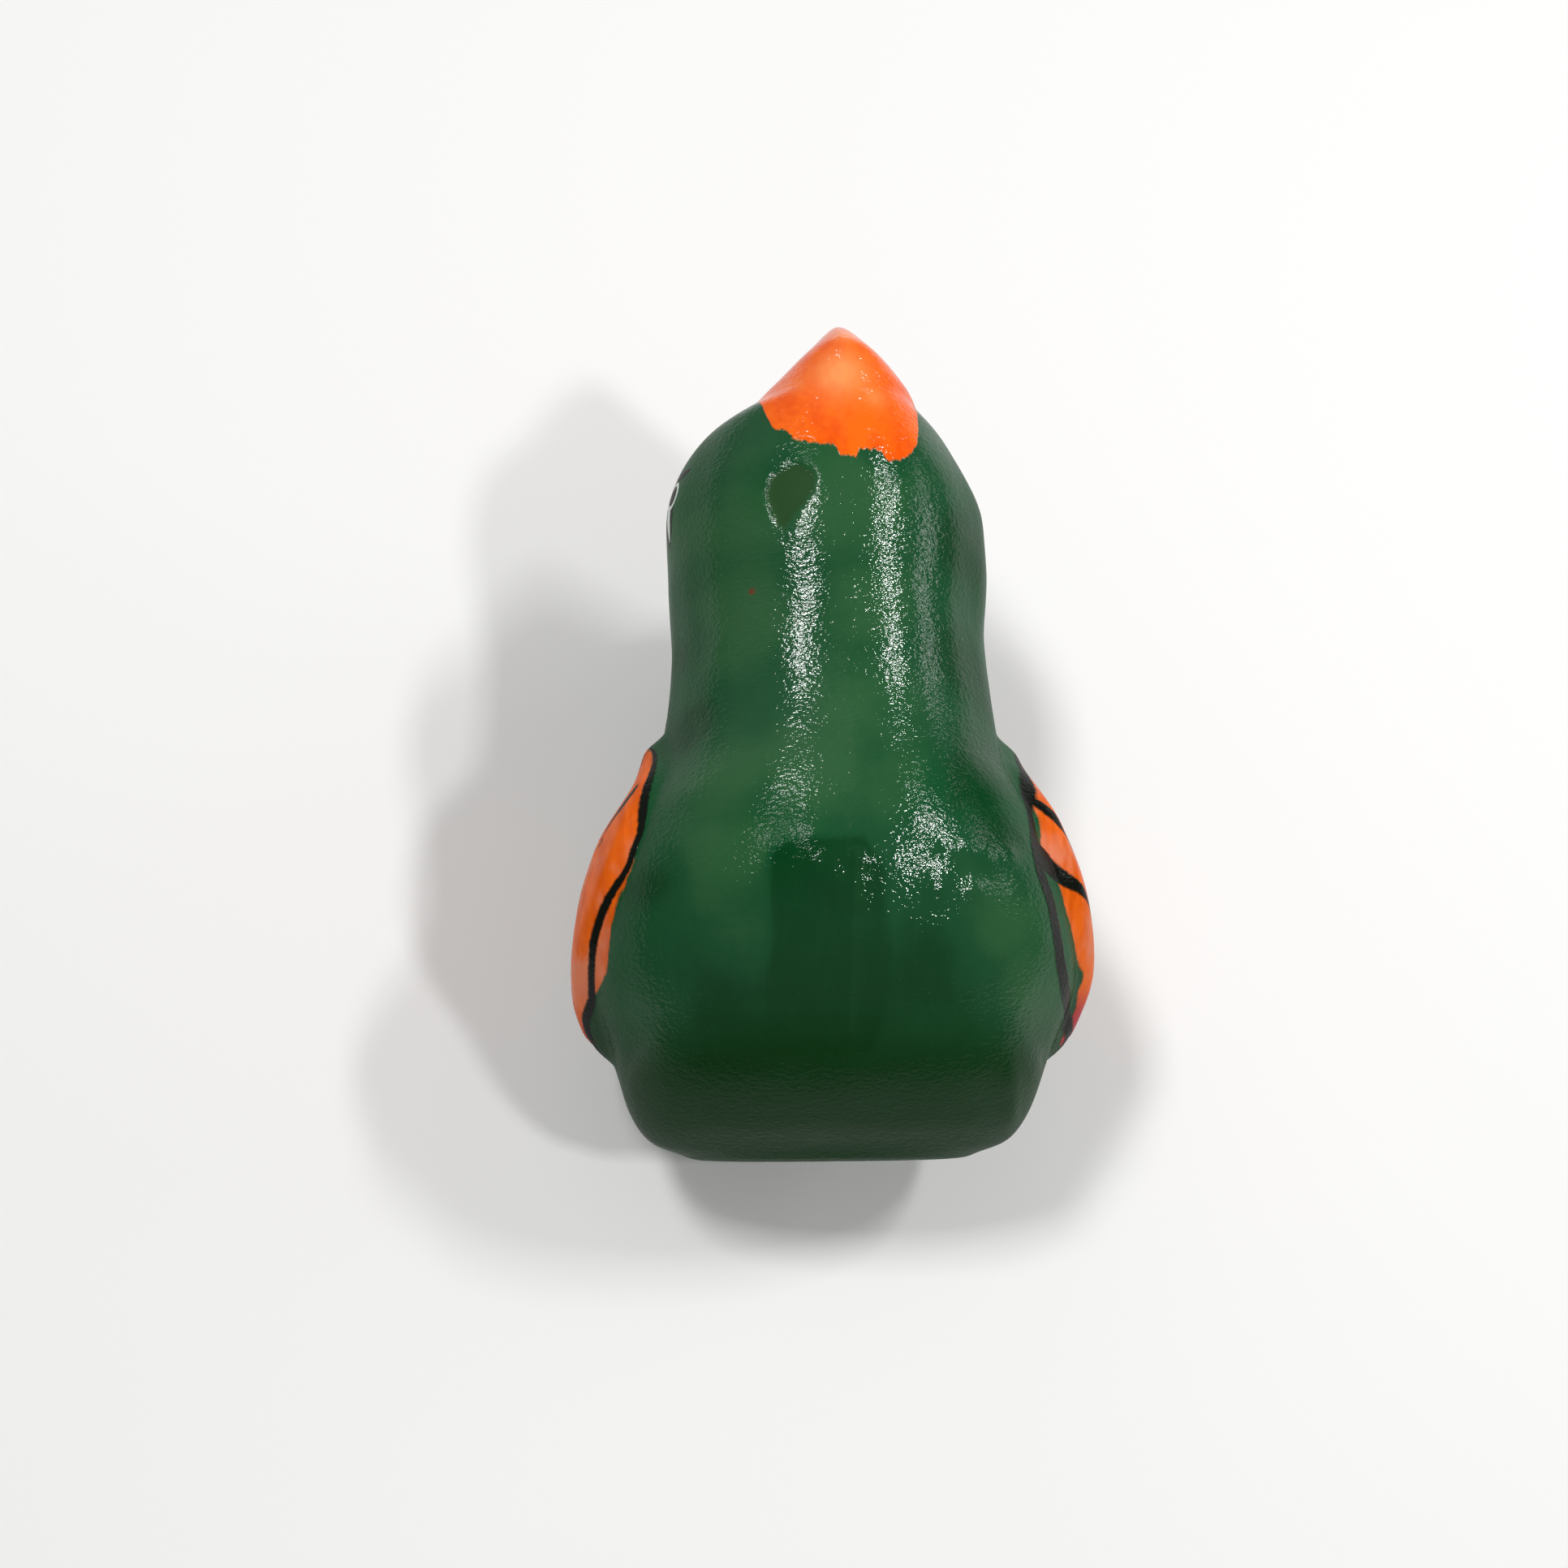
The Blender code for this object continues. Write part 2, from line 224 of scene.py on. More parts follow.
def smooth_path(points, steps=6, closed=False):
    """More points on a smooth curve through the given ones."""
    count = len(points)
    if closed:
        padded = [points[-1], *points, points[0], points[1]]
        pieces = count
    else:
        first = tuple(2 * a - b for a, b in zip(points[0], points[1]))
        last = tuple(2 * a - b for a, b in zip(points[-1], points[-2]))
        padded = [first, *points, last]
        pieces = count - 1
    made = []
    for i in range(pieces):
        for step in range(steps):
            made.append(tuple(curve(*values, step / steps) for values in zip(*padded[i:i + 4])))
    if not closed:
        made.append(tuple(points[-1]))
    return made


def wing_outline():
    """The wing's outline in side view, from the shoulder over the top to the pointed rear end and back."""
    front = SHOULDER_Y - WING_SETBACK
    half = WING_DEPTH / 2
    shape = [(0, 0.37), (0.1, 0.7), (0.23, 0.92), (0.4, 1.0), (0.56, 0.88), (0.71, 0.55), (0.85, 0.12),
             (1.0, -0.39), (0.88, -0.6), (0.71, -0.9), (0.48, -1.0), (0.25, -0.8), (0.1, -0.35)]
    corners = [(front - WING_LENGTH * back, WING_MIDDLE + half * up) for back, up in shape]
    return smooth_path(corners, 4, True)


WING = wing_outline()


# The dent in the crown: its corners in plan, its depth, how softly it ends, and the heights it starts at
DENT = [(-6.05, 15.5), (-5.6, 17.2), (-3.6, 17.9), (-2.4, 17.1), (-2.4, 15.7), (-3.3, 14.5), (-4.6, 13.0),
        (-5.2, 13.1)]
DENT_DEPTH = 0.2
DENT_EDGE = 0.5
DENT_HEIGHTS = (25, 30)
# The mould's seam along the top, whose strength comes and goes
SEAM_HEIGHT = 0.1
SEAM_HALF_WIDTH = 0.3
SEAM_X = 0.2
SEAM_STRENGTH = 0.55
SEAM_CHANGE = 0.6
SEAM_WAVES_PER_MM = 0.35
SEAM_LIMITS = (0.1, 1.2)
# Lumps in plan with their radius and height, and the heights on the bird that they start at
LUMPS = [(-2.4, -14.2, 1.3, 0.3), (-1.6, -15.6, 0.9, 0.22), (-4.9, -17.1, 0.45, 0.22),
         (0.1, -13.6, 0.5, 0.3), (0.0, -15.2, 0.5, 0.22), (0.4, -16.6, 0.5, 0.18), (7.0, -12.9, 0.9, 0.2),
         (8.6, -12.4, 0.9, 0.22), (10.3, -12.9, 0.9, 0.22), (11.9, -12.4, 0.9, 0.2), (13.1, -27.6, 1.1, 0.4),
         (13.6, -29.4, 0.9, 0.4), (6.0, -15.6, 0.9, 0.2), (9.0, -15.4, 0.8, 0.2), (-3.2, -11.6, 0.7, 0.16),
         (-5.6, -12.6, 0.6, 0.14)]
LUMP_HEIGHTS = (10, 16)
# The uneven clay: the length and the height of its waves
WAVES = [(7.5, 0.13), (3.2, 0.045)]
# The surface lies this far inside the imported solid, so that no lump stands out of its box
SURFACE_INSET = 0.06
# The swelling under each eye: its middle in side view, radius and height, and how far out it starts
EYE_BOSS = (19.0, 27.6, 2.6, 0.3)
EYE_BOSS_OUT = (8, 10)


def marks_in_clay(points):
    """How far each point stands out for the seam, the dent, the lumps, the eyes and the uneven clay."""
    x, y, z = points[:, 0], points[:, 1], points[:, 2]
    change = np.array([noise.noise(Vector((0.0, value * SEAM_WAVES_PER_MM, 3.0))) for value in y])
    strength = np.clip(SEAM_STRENGTH + SEAM_CHANGE * change, *SEAM_LIMITS)
    out = SEAM_HEIGHT * strength * np.exp(-((x - SEAM_X) / SEAM_HALF_WIDTH) ** 2)
    sunk = smooth_step(inside_distance(x, y, DENT) / DENT_EDGE + 0.5)
    out -= DENT_DEPTH * sunk * climb(z, *DENT_HEIGHTS)
    upper = climb(z, *LUMP_HEIGHTS)
    for lump_x, lump_y, radius, height in LUMPS:
        out += height * np.exp(-((x - lump_x) ** 2 + (y - lump_y) ** 2) / radius**2) * upper
    boss_y, boss_z, radius, height = EYE_BOSS
    cheek = climb(np.abs(x), *EYE_BOSS_OUT)
    out += height * np.exp(-((y - boss_y) ** 2 + (z - boss_z) ** 2) / radius**2) * cheek
    for length, height in WAVES:
        out += height * np.array([noise.noise(Vector(point) / length) for point in points.tolist()])
    return out - SURFACE_INSET


def ring(row, inset=0.0):
    """The points around one cross-section before its marks, and the way outwards from each."""
    half_width = max(row.half_width - inset, 0.0)
    rise = max(row.rise - inset, 0.0)
    drop = max(row.drop - inset, 0.0)
    power = 2 / row.square
    leaning = float(smooth_step((TAIL_ROOT_Y + LEAN_REACH - row.y) / TAIL_LENGTH)) * math.tan(TAIL_LEAN)
    angle = 2 * math.pi * np.arange(RING_POINTS) / RING_POINTS
    across = np.sign(np.cos(angle)) * np.abs(np.cos(angle)) ** power
    up = np.sign(np.sin(angle)) * np.abs(np.sin(angle)) ** power
    height = np.where(up > 0, rise, drop)
    x = half_width * across
    z = row.widest + height * up
    outward = np.stack([across / half_width, np.zeros(RING_POINTS), up / height], axis=1)
    outward /= np.linalg.norm(outward, axis=1, keepdims=True)
    raised = WING_RELIEF * smooth_step(inside_distance(np.full(RING_POINTS, row.y), z, WING) / WING_EDGE)
    y = row.y + leaning * (row.widest - z)
    return np.stack([x + row.shift, y, z], axis=1) + outward * raised[:, None], outward


def surface_rings():
    rows = end_sections(sections())
    end = rows[1]
    made = []
    for step in range(ROUND_STEPS):
        angle = ROUND_FROM + (math.pi / 2 - ROUND_FROM) * (1 - step / ROUND_STEPS)
        moved = end._replace(y=end.y - TAIL_BULGE * (math.sin(angle) - math.sin(ROUND_FROM)))
        made.append(ring(moved, TAIL_ROUND * (math.cos(ROUND_FROM) - math.cos(angle))))
    for i in range(len(rows) - 3):
        a, b = rows[i + 1], rows[i + 2]
        span = math.hypot(b.y - a.y, b.half_width - a.half_width, b.rise - a.rise)
        steps = max(2, round(span / RING_SPACING))
        for step in range(steps):
            made.append(ring(blend(rows, i + step / steps)))
    return made


def new_object(name, bm):
    bmesh.ops.recalc_face_normals(bm, faces=bm.faces)
    mesh = bpy.data.meshes.new(name)
    bm.to_mesh(mesh)
    bm.free()
    made = bpy.data.objects.new(name, mesh)
    bpy.context.scene.collection.objects.link(made)
    return made


def bird_form():
    """The closed outer surface at full detail, cut flat under the belly."""
    made = surface_rings()
    points = np.concatenate([ring_points for ring_points, _ in made])
    outward = np.concatenate([ways for _, ways in made])
    points = points + outward * marks_in_clay(points)[:, None]
    bm = bmesh.new()
    verts = [bm.verts.new(point) for point in (points * MM).tolist()]
    loops = [verts[i * RING_POINTS:(i + 1) * RING_POINTS] for i in range(len(made))]
    for first, second in zip(loops, loops[1:]):
        for i in range(RING_POINTS):
            j = (i + 1) % RING_POINTS
            bm.faces.new((first[i], first[j], second[j], second[i]))
    bm.faces.new(loops[0])
    tip = bm.verts.new((BEAK_OFFSET * MM, BEAK_TIP_Y * MM, BEAK_HEIGHT * MM))
    last = loops[-1]
    for i in range(RING_POINTS):
        bm.faces.new((last[i], last[(i + 1) % RING_POINTS], tip))
    everything = [*bm.verts, *bm.edges, *bm.faces]
    bmesh.ops.bisect_plane(bm, geom=everything, plane_co=(0, 0, 0), plane_no=(0, 0, -1), clear_outer=True)
    bmesh.ops.contextual_create(bm, geom=[edge for edge in bm.edges if edge.is_boundary])
    return new_object("painted_bird", bm)


def prism(name, outline, width):
    """A cutter with this outline in side view, and this width across the bird."""
    bm = bmesh.new()
    left = [bm.verts.new((-width / 2 * MM, y * MM, z * MM)) for y, z in outline]
    right = [bm.verts.new((width / 2 * MM, y * MM, z * MM)) for y, z in outline]
    count = len(outline)
    for i in range(count):
        j = (i + 1) % count
        bm.faces.new((left[i], left[j], right[j], right[i]))
    bm.faces.new(left)
    bm.faces.new(right)
    return new_object(name, bm)


def step_from(point, angle, distance):
    """The point this far from another in side view; an angle of zero is forwards, and above zero is up."""
    return (point[0] + distance * math.cos(angle), point[1] + distance * math.sin(angle))


def sounding_cutters():
    """The chamber, the window with its sharp edge, and the windway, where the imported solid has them."""
    chamber_y = TAIL_ROOT_Y + BODY_LENGTH / 2
    chamber_z = BACK_HEIGHT / 2
    half = Vector((BODY_WIDTH / 2 - WALL, CHAMBER_LENGTH / 2, BACK_HEIGHT / 2 - WALL))
    bm = bmesh.new()
    bmesh.ops.create_uvsphere(bm, u_segments=64, v_segments=40, radius=1.0)
    bmesh.ops.scale(bm, vec=half * MM, verts=bm.verts)
    bmesh.ops.translate(bm, vec=(0, chamber_y * MM, chamber_z * MM), verts=bm.verts)
    chamber = new_object("chamber", bm)

    floor = chamber_z - half.z * math.sqrt(1 - (LABIUM_SETBACK / half.y) ** 2)
    edge = (chamber_y - LABIUM_SETBACK, floor - LABIUM_THICKNESS)
    mouth = (TAIL_END_Y, (TAIL_TOP + TAIL_UNDERSIDE) / 2 - WINDWAY_DROP)
    windway_angle = math.atan2(edge[1] - mouth[1], edge[0] - mouth[0])
    rear = edge[0] - WINDOW_LENGTH
    window = prism("window", [
        (rear, -CUT_OVERLAP),
        (rear, floor + WALL),
        step_from(edge, LABIUM_INNER_ANGLE, LABIUM_SETBACK),
        edge,
        step_from(edge, -LABIUM_OUTER_ANGLE, edge[1] / math.sin(LABIUM_OUTER_ANGLE) + CUT_OVERLAP),
    ], WINDWAY_WIDTH)

    inner = step_from(edge, windway_angle + math.pi, WINDOW_LENGTH - WINDWAY_OVERLAP)
    outer = step_from(mouth, windway_angle + math.pi, CUT_OVERLAP)
    upright = windway_angle + math.pi / 2
    half_height = WINDWAY_HEIGHT / 2
    windway = prism("windway", [
        step_from(inner, upright, -half_height),
        step_from(inner, upright, half_height),
        step_from(outer, upright, half_height),
        step_from(outer, upright, -half_height),
    ], WINDWAY_WIDTH)
    return [chamber, window, windway]


def hollowed_bird(paint, clay):
    """The finished form: the outer surface with the sounding parts cut out of it, in plain clay inside."""
    bird = bird_form()
    bird.data.materials.append(paint)
    for tool in sounding_cutters():
        tool.data.materials.append(clay)
        change = bird.modifiers.new(tool.name, "BOOLEAN")
        change.operation = "DIFFERENCE"
        change.solver = "EXACT"
        change.material_mode = "TRANSFER"
        change.object = tool
        bpy.context.view_layer.objects.active = bird
        bpy.ops.object.modifier_apply(modifier=change.name)
        bpy.data.objects.remove(tool, do_unlink=True)
    return bird


# The paint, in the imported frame. In plan: (x, y). In side view: (y, z)
# The edge of the beak's paint on top, its place down the sides, and the heights between the two
BEAK_PAINT_EDGE = [(-6.4, 24.6), (-5.9, 23.0), (-5.4, 21.3), (-4.4, 20.7), (-3.6, 19.9), (-2.1, 19.4),
                   (-0.8, 19.3), (-0.4, 18.5), (0.8, 18.3), (1.2, 18.9), (2.7, 19.0), (3.3, 18.4),
                   (4.1, 18.4), (5.0, 18.8), (5.8, 20.0), (6.3, 21.5), (6.7, 24.0)]
BEAK_PAINT_SIDE_Y = 25.4
BEAK_PAINT_HEIGHTS = (36.0, 33.0)
# Paler patches of the beak, a painted highlight along its ridge with some wear: soft and round, with their
# radius and strength
BEAK_WEAR_AND_HIGHLIGHT = [(0.0, 25.8, 2.1, 1.0), (0.6, 29.8, 1.4, 0.6), (2.6, 24.0, 1.1, 0.5), (-3.4, 25.4, 1.2, 0.4)]

# Brushed lines: points in side view with half the line's width at each
LEFT_WING_EDGE = [
    (0.6, 22.0, 0.05), (-0.6, 23.8, 0.07), (-1.7, 25.1, 0.1), (-4.1, 27.0, 0.14), (-6.8, 28.3, 0.14),
    (-9.0, 28.8, 0.14), (-10.6, 28.6, 0.15), (-12.0, 28.2, 0.16), (-13.3, 27.3, 0.17), (-14.6, 26.2, 0.18),
    (-15.9, 25.0, 0.19), (-17.2, 23.8, 0.2), (-18.5, 22.5, 0.22), (-20.3, 20.3, 0.25), (-21.5, 17.6, 0.26),
    (-22.7, 16.2, 0.22), (-23.7, 15.6, 0.06),
]
RIGHT_WING_EDGE = [
    (0.6, 21.6, 0.08), (-1.2, 24.0, 0.2), (-3.0, 25.8, 0.28), (-4.7, 27.4, 0.32), (-7.0, 28.9, 0.34),
    (-9.3, 29.9, 0.36), (-11.1, 30.4, 0.48), (-12.7, 30.4, 0.55), (-13.5, 30.1, 0.55), (-14.9, 29.3, 0.56),
    (-16.4, 28.6, 0.58), (-18.0, 27.6, 0.62), (-19.5, 26.2, 0.66), (-20.8, 23.7, 0.66), (-21.6, 19.6, 0.5),
    (-22.4, 16.6, 0.3), (-23.4, 15.6, 0.06),
]
LEFT_WING_STROKES = [
    [(-5.0, 26.7, 0.3), (-5.6, 26.6, 0.56), (-6.3, 26.3, 0.6), (-7.0, 25.7, 0.42), (-7.8, 25.0, 0.24),
     (-8.5, 24.3, 0.08)],
    [(-8.8, 24.9, 0.25), (-9.2, 24.5, 0.2)],
    [(-1.0, 23.9, 0.14), (-1.6, 23.2, 0.26), (-2.4, 22.2, 0.22), (-3.4, 20.8, 0.08)],
]
RIGHT_WING_STROKES = [
    [(-2.6, 25.4, 0.25), (-4.2, 25.4, 0.4), (-5.6, 24.4, 0.3), (-7.2, 22.6, 0.08)],
    [(-6.2, 28.4, 0.3), (-7.6, 28.0, 0.4), (-8.6, 27.7, 0.34), (-9.3, 26.9, 0.22), (-10.6, 24.6, 0.08)],
    [(-10.6, 30.2, 0.5), (-11.3, 29.8, 0.95), (-12.1, 29.0, 0.9), (-12.7, 27.8, 0.5), (-13.2, 26.6, 0.36),
     (-14.0, 24.9, 0.3), (-15.4, 22.4, 0.22), (-17.4, 19.8, 0.08)],
]
# The parts of both wings that the photograph hides are brushed alike
LOWER_WING_LINES = [
    [(0.6, 22.0, 0.08), (0.6, 20.0, 0.3), (-1.2, 16.4, 0.35), (-4.4, 12.6, 0.36), (-9.6, 10.0, 0.36),
     (-14.6, 10.0, 0.36), (-19.0, 12.2, 0.34), (-22.0, 14.8, 0.25), (-23.7, 15.6, 0.08)],
    [(-3.2, 22.0, 0.1), (-5.4, 20.8, 0.4), (-8.2, 18.0, 0.35), (-10.0, 14.8, 0.08)],
    [(-8.6, 21.8, 0.1), (-10.6, 20.4, 0.4), (-13.2, 17.2, 0.35), (-14.8, 13.8, 0.08)],
    [(-14.2, 20.6, 0.1), (-16.0, 18.8, 0.38), (-18.2, 16.2, 0.3), (-19.6, 14.0, 0.08)],
]
# The outlines of the orange in side view. Both wings share the lower edge
WING_LOWER_EDGE = [(-22.2, 15.1), (-18.8, 12.5), (-14.5, 10.3), (-9.6, 10.3), (-4.6, 12.9), (-1.5, 16.5),
                   (0.2, 20.0)]
LEFT_WING_COLOUR = [(0.0, 22.4), (-1.6, 24.8), (-4.1, 26.95), (-6.8, 28.25), (-9.0, 28.75), (-10.6, 28.6),
                    (-12.0, 28.35), (-13.4, 27.7), (-14.6, 26.8), (-16.1, 25.9), (-17.8, 25.2),
                    (-18.9, 24.4), (-19.6, 23.0), (-20.1, 20.6), (-21.3, 17.7), (-23.2, 15.9),
                    *WING_LOWER_EDGE]
RIGHT_WING_COLOUR = [(0.0, 22.0), (-3.0, 25.6), (-4.7, 27.2), (-7.0, 28.7), (-8.1, 28.7), (-9.6, 29.0),
                     (-11.0, 29.6), (-12.6, 29.0), (-13.4, 27.8), (-14.9, 26.9), (-16.4, 25.5),
                     (-17.9, 23.8), (-18.7, 22.0), (-19.8, 20.8), (-21.0, 19.0), (-23.2, 16.4),
                     *WING_LOWER_EDGE]
# Nothing further than this from a wing's edge belongs to its line
LINE_REACH = 0.9
# The magenta at the rear of the wings: its middle in side view, and how far it reaches on either side
WING_TIP = (-23.5, 16.5)
LEFT_TIP_REACH = 2.5
RIGHT_TIP_REACH = 5.0
# Only what lies further out than this from the middle takes the wings' paint
FLANK_OUT = 9

# The eye: an almond with a white ring, a tail of white behind it and a lash in front
EYE_FRONT = (21.2, 28.2)
EYE_REAR = (15.4, 26.2)
EYE_BULGE = 1.35
EYE_RING_CENTRE = (19.4, 28.0)
EYE_RING_RADIUS = 1.02
EYE_RING_HALF_WIDTH = 0.15
EYE_RING_SOFTNESS = 0.1
EYE_TAIL = [(18.4, 27.6, 0.4), (17.6, 27.3, 0.45), (16.8, 27.0, 0.35), (15.8, 26.6, 0.08)]
EYE_LASH = [(20.6, 30.8, 0.06), (20.7, 29.8, 0.3), (20.8, 28.8, 0.38), (20.6, 27.6, 0.3)]
# Only what lies further out than this from the middle takes the eyes' paint
CHEEK_OUT = 7

# A red speck on the nape in plan with its radius, and the stretch of the back where a painted highlight runs
# along the seam
RED_SPECK = (-7.1, 8.5, 0.25)
SEAM_HIGHLIGHT_STRETCH = (-25.0, -12.5)

# Painted sheen and painted shade on the green, in plan: soft round patches, paler where a sheen is painted
# and deeper where shade is painted, with their radius and with their strength where it is under 1
SHEEN_PATCHES = [(-8.0, 14.5, 5.0), (-0.5, 14.5, 5.0), (-7.5, 7.5, 4.5), (1.5, 7.0, 3.5), (0.5, -1.5, 4.5),
                (-3.2, -7.0, 5.0), (-9.5, -6.5, 4.5), (-9.8, -13.0, 4.5), (10.3, -18.2, 4.0),
                (13.2, -21.0, 3.0), (3.0, -7.5, 3.5, 0.8), (-9.0, -19.0, 3.5, 0.6)]
SHADE_PATCHES = [(10.0, 13.5, 3.0), (-12.0, 6.0, 2.2), (9.8, 3.5, 3.2), (-11.5, -1.0, 2.2),
                (9.6, -5.8, 3.6), (11.5, -11.0, 3.0), (-14.2, -14.0, 2.2), (6.0, -22.0, 4.0),
                (-9.0, -24.0, 4.0), (3.0, 19.0, 2.0)]
# A painted dark reflection on the back, in deeper green, in plan: its corners, and how softly it ends
PAINTED_DARK_REFLECTION = [(-6.4, -13.2), (-5.4, -12.2), (0.6, -12.0), (2.2, -14.5), (2.6, -21.0), (1.6, -26.0),
               (-6.0, -26.0)]
PAINTED_DARK_REFLECTION_EDGE = 1.1
# Where handling has dulled the lacquer, in plan: soft round patches with their radius and strength
DULL_PATCHES = [(-5.8, -11.6, 4.6, 0.95), (-2.6, 18.2, 2.6, 0.95), (-5.5, 16.0, 2.4, 0.9),
                (4.8, 17.6, 2.8, 0.6), (5.6, -7.6, 2.8, 0.85), (9.5, -8.5, 3.2, 0.85)]
# The lacquer also thins between these: distances below the top line, and places toward the tail
DULL_DOWN = (0.5, 7.5)
DULL_BEHIND = (-21.5, -27.0)
# Painted shade: the green is darkened between these heights, and toward the tail, where the lacquer thins
# too
PAINTED_SHADE_HEIGHTS = (26.0, 14.0)

# What is placed in plan belongs to the top alone, so each mark has a height that it stays above
WEAR_AND_HIGHLIGHT_ABOVE = 30
DENT_ABOVE = 30
SPECK_ABOVE = 25
SEAM_HIGHLIGHT_ABOVE = 20
SHEEN_AND_SHADE_ABOVE = 15
DULL_ABOVE = 25

# How far inside its patch of paint a point counts as when it lies on another side of the bird
FAR_OUTSIDE = -10.0


def brush_field(y, z, lines):
    """How far inside the nearest brushed line each point is; below zero outside."""
    best = np.full(len(y), FAR_OUTSIDE)
    for line in lines:
        path = smooth_path(line, 5)
        distance, at = to_segments(y, z, [(p[0], p[1]) for p in path], False)
        widths = np.interp(at, np.arange(len(path)), [p[2] for p in path])
        best = np.maximum(best, widths - distance)
    return best


def line_field(y, z, line):
    """How far to one side of a thin brushed line each point is in half-widths, and how far in millimetres.

    The first runs evenly through zero on the line, so a line thinner than the mesh stays whole.
    """
    path = smooth_path(line, 5)
    distance, at = to_segments(y, z, [(p[0], p[1]) for p in path], False)
    piece = np.minimum(at.astype(int), len(path) - 2)
    places = np.array(path)[:, :2]
    start, way = places[piece], places[piece + 1] - places[piece]
    side = way[:, 0] * (z - start[:, 1]) - way[:, 1] * (y - start[:, 0])
    widths = np.interp(at, np.arange(len(path)), [p[2] for p in path])
    return np.where(side < 0, -distance, distance) / widths, distance


def disc_field(y, z, centre, radius):
    return radius - np.hypot(y - centre[0], z - centre[1])


def lens_field(y, z, front, rear, bulge):
    """How far inside an almond between two points each point is: where two round discs overlap."""
    dy, dz = front[0] - rear[0], front[1] - rear[1]
    half = math.hypot(dy, dz) / 2
    radius = (half**2 + bulge**2) / (2 * bulge)
    middle = ((front[0] + rear[0]) / 2, (front[1] + rear[1]) / 2)
    side = (-dz / (2 * half), dy / (2 * half))
    sink = radius - bulge
    upper = (middle[0] - side[0] * sink, middle[1] - side[1] * sink)
    lower = (middle[0] + side[0] * sink, middle[1] + side[1] * sink)
    return np.minimum(disc_field(y, z, upper, radius), disc_field(y, z, lower, radius))


def soft_patches(x, y, patches):
    """1 in the middle of any of these soft round patches, down to 0 around them."""
    best = np.zeros(len(x))
    for patch_x, patch_y, radius, *strength in patches:
        rise = np.exp(-((x - patch_x) ** 2 + (y - patch_y) ** 2) / radius**2)
        best = np.maximum(best, rise * (strength[0] if strength else 1.0))
    return best


def beak_fields(x, y, z):
    edge = smooth_path(BEAK_PAINT_EDGE, 4)
    top_edge = np.interp(x, [p[0] for p in edge], [p[1] for p in edge])
    low = climb(z, *BEAK_PAINT_HEIGHTS)
    return {
        "beak": y - (top_edge * (1 - low) + BEAK_PAINT_SIDE_Y * low),
        "wear_and_highlight": np.where(z > WEAR_AND_HIGHLIGHT_ABOVE, soft_patches(x, y, BEAK_WEAR_AND_HIGHLIGHT), 0),
    }


def wing_fields(x, y, z):
    left = x < 0
    on_flank = np.abs(x) > FLANK_OUT
    colour = np.where(left, inside_distance(y, z, smooth_path(LEFT_WING_COLOUR, 4, True)),
                      inside_distance(y, z, smooth_path(RIGHT_WING_COLOUR, 4, True)))
    strokes = np.where(left, brush_field(y, z, LEFT_WING_STROKES), brush_field(y, z, RIGHT_WING_STROKES))
    strokes = np.maximum(strokes, brush_field(y, z, LOWER_WING_LINES))
    left_side, left_distance = line_field(y, z, LEFT_WING_EDGE)
    right_side, right_distance = line_field(y, z, RIGHT_WING_EDGE)
    distance = np.where(left, left_distance, right_distance)
    reach = np.where(left, LEFT_TIP_REACH, RIGHT_TIP_REACH)
    return {
        "wing": np.where(on_flank, colour, FAR_OUTSIDE),
        "stroke": np.where(on_flank, strokes, FAR_OUTSIDE),
        "edge": np.where(left, left_side, right_side),
        "edge_near": np.where(on_flank, LINE_REACH - distance, FAR_OUTSIDE),
        "tip": reach - np.hypot(y - WING_TIP[0], z - WING_TIP[1]),
    }


def eye_fields(x, y, z):
    on_cheek = np.abs(x) > CHEEK_OUT
    almond = np.maximum(lens_field(y, z, EYE_FRONT, EYE_REAR, EYE_BULGE), brush_field(y, z, [EYE_LASH]))
    return {
        "eye": np.where(on_cheek, almond, FAR_OUTSIDE),
        "ring": np.where(on_cheek, disc_field(y, z, EYE_RING_CENTRE, EYE_RING_RADIUS), FAR_OUTSIDE),
        "white": np.where(on_cheek, brush_field(y, z, [EYE_TAIL]), FAR_OUTSIDE),
    }


def back_fields(x, y, z):
    on_back = (z > SEAM_HIGHLIGHT_ABOVE) & (y > SEAM_HIGHLIGHT_STRETCH[0]) & (y < SEAM_HIGHLIGHT_STRETCH[1])
    # Painted sheen less painted shade, in soft round patches
    tone_sheen_and_shade = soft_patches(x, y, SHEEN_PATCHES) - soft_patches(x, y, SHADE_PATCHES)
    # Painted dark reflection: inside this patch the green is made deeper
    coat = smooth_step(inside_distance(x, y, PAINTED_DARK_REFLECTION) / PAINTED_DARK_REFLECTION_EDGE + 0.5)
    return {
        "dent": np.where(z > DENT_ABOVE, inside_distance(x, y, DENT), FAR_OUTSIDE),
        "speck": np.where(z > SPECK_ABOVE, disc_field(x, y, RED_SPECK[:2], RED_SPECK[2]), FAR_OUTSIDE),
        "seam": np.where(on_back, SEAM_HALF_WIDTH - np.abs(x - SEAM_X), FAR_OUTSIDE),
        "tone_sheen_and_shade": np.where(z > SHEEN_AND_SHADE_ABOVE, tone_sheen_and_shade * (1 - coat) - coat, 0),
    }


def handling_and_shade_fields(x, y, z):
    """Where hands have thinned the lacquer, and where painted shade darkens the green low down, from 0 to 1.
    """
    rows = sections()
    below_top = np.interp(y, [row.y for row in rows], [row.widest + row.rise for row in rows]) - z
    behind = climb(y, *DULL_BEHIND)
    return {
        "handled": np.maximum(climb(below_top, *DULL_DOWN), behind),
        # Painted shade low down and toward the tail
        "low": np.maximum(climb(z, *PAINTED_SHADE_HEIGHTS), behind),
        "dull": np.where(z > DULL_ABOVE, soft_patches(x, y, DULL_PATCHES), 0),
    }


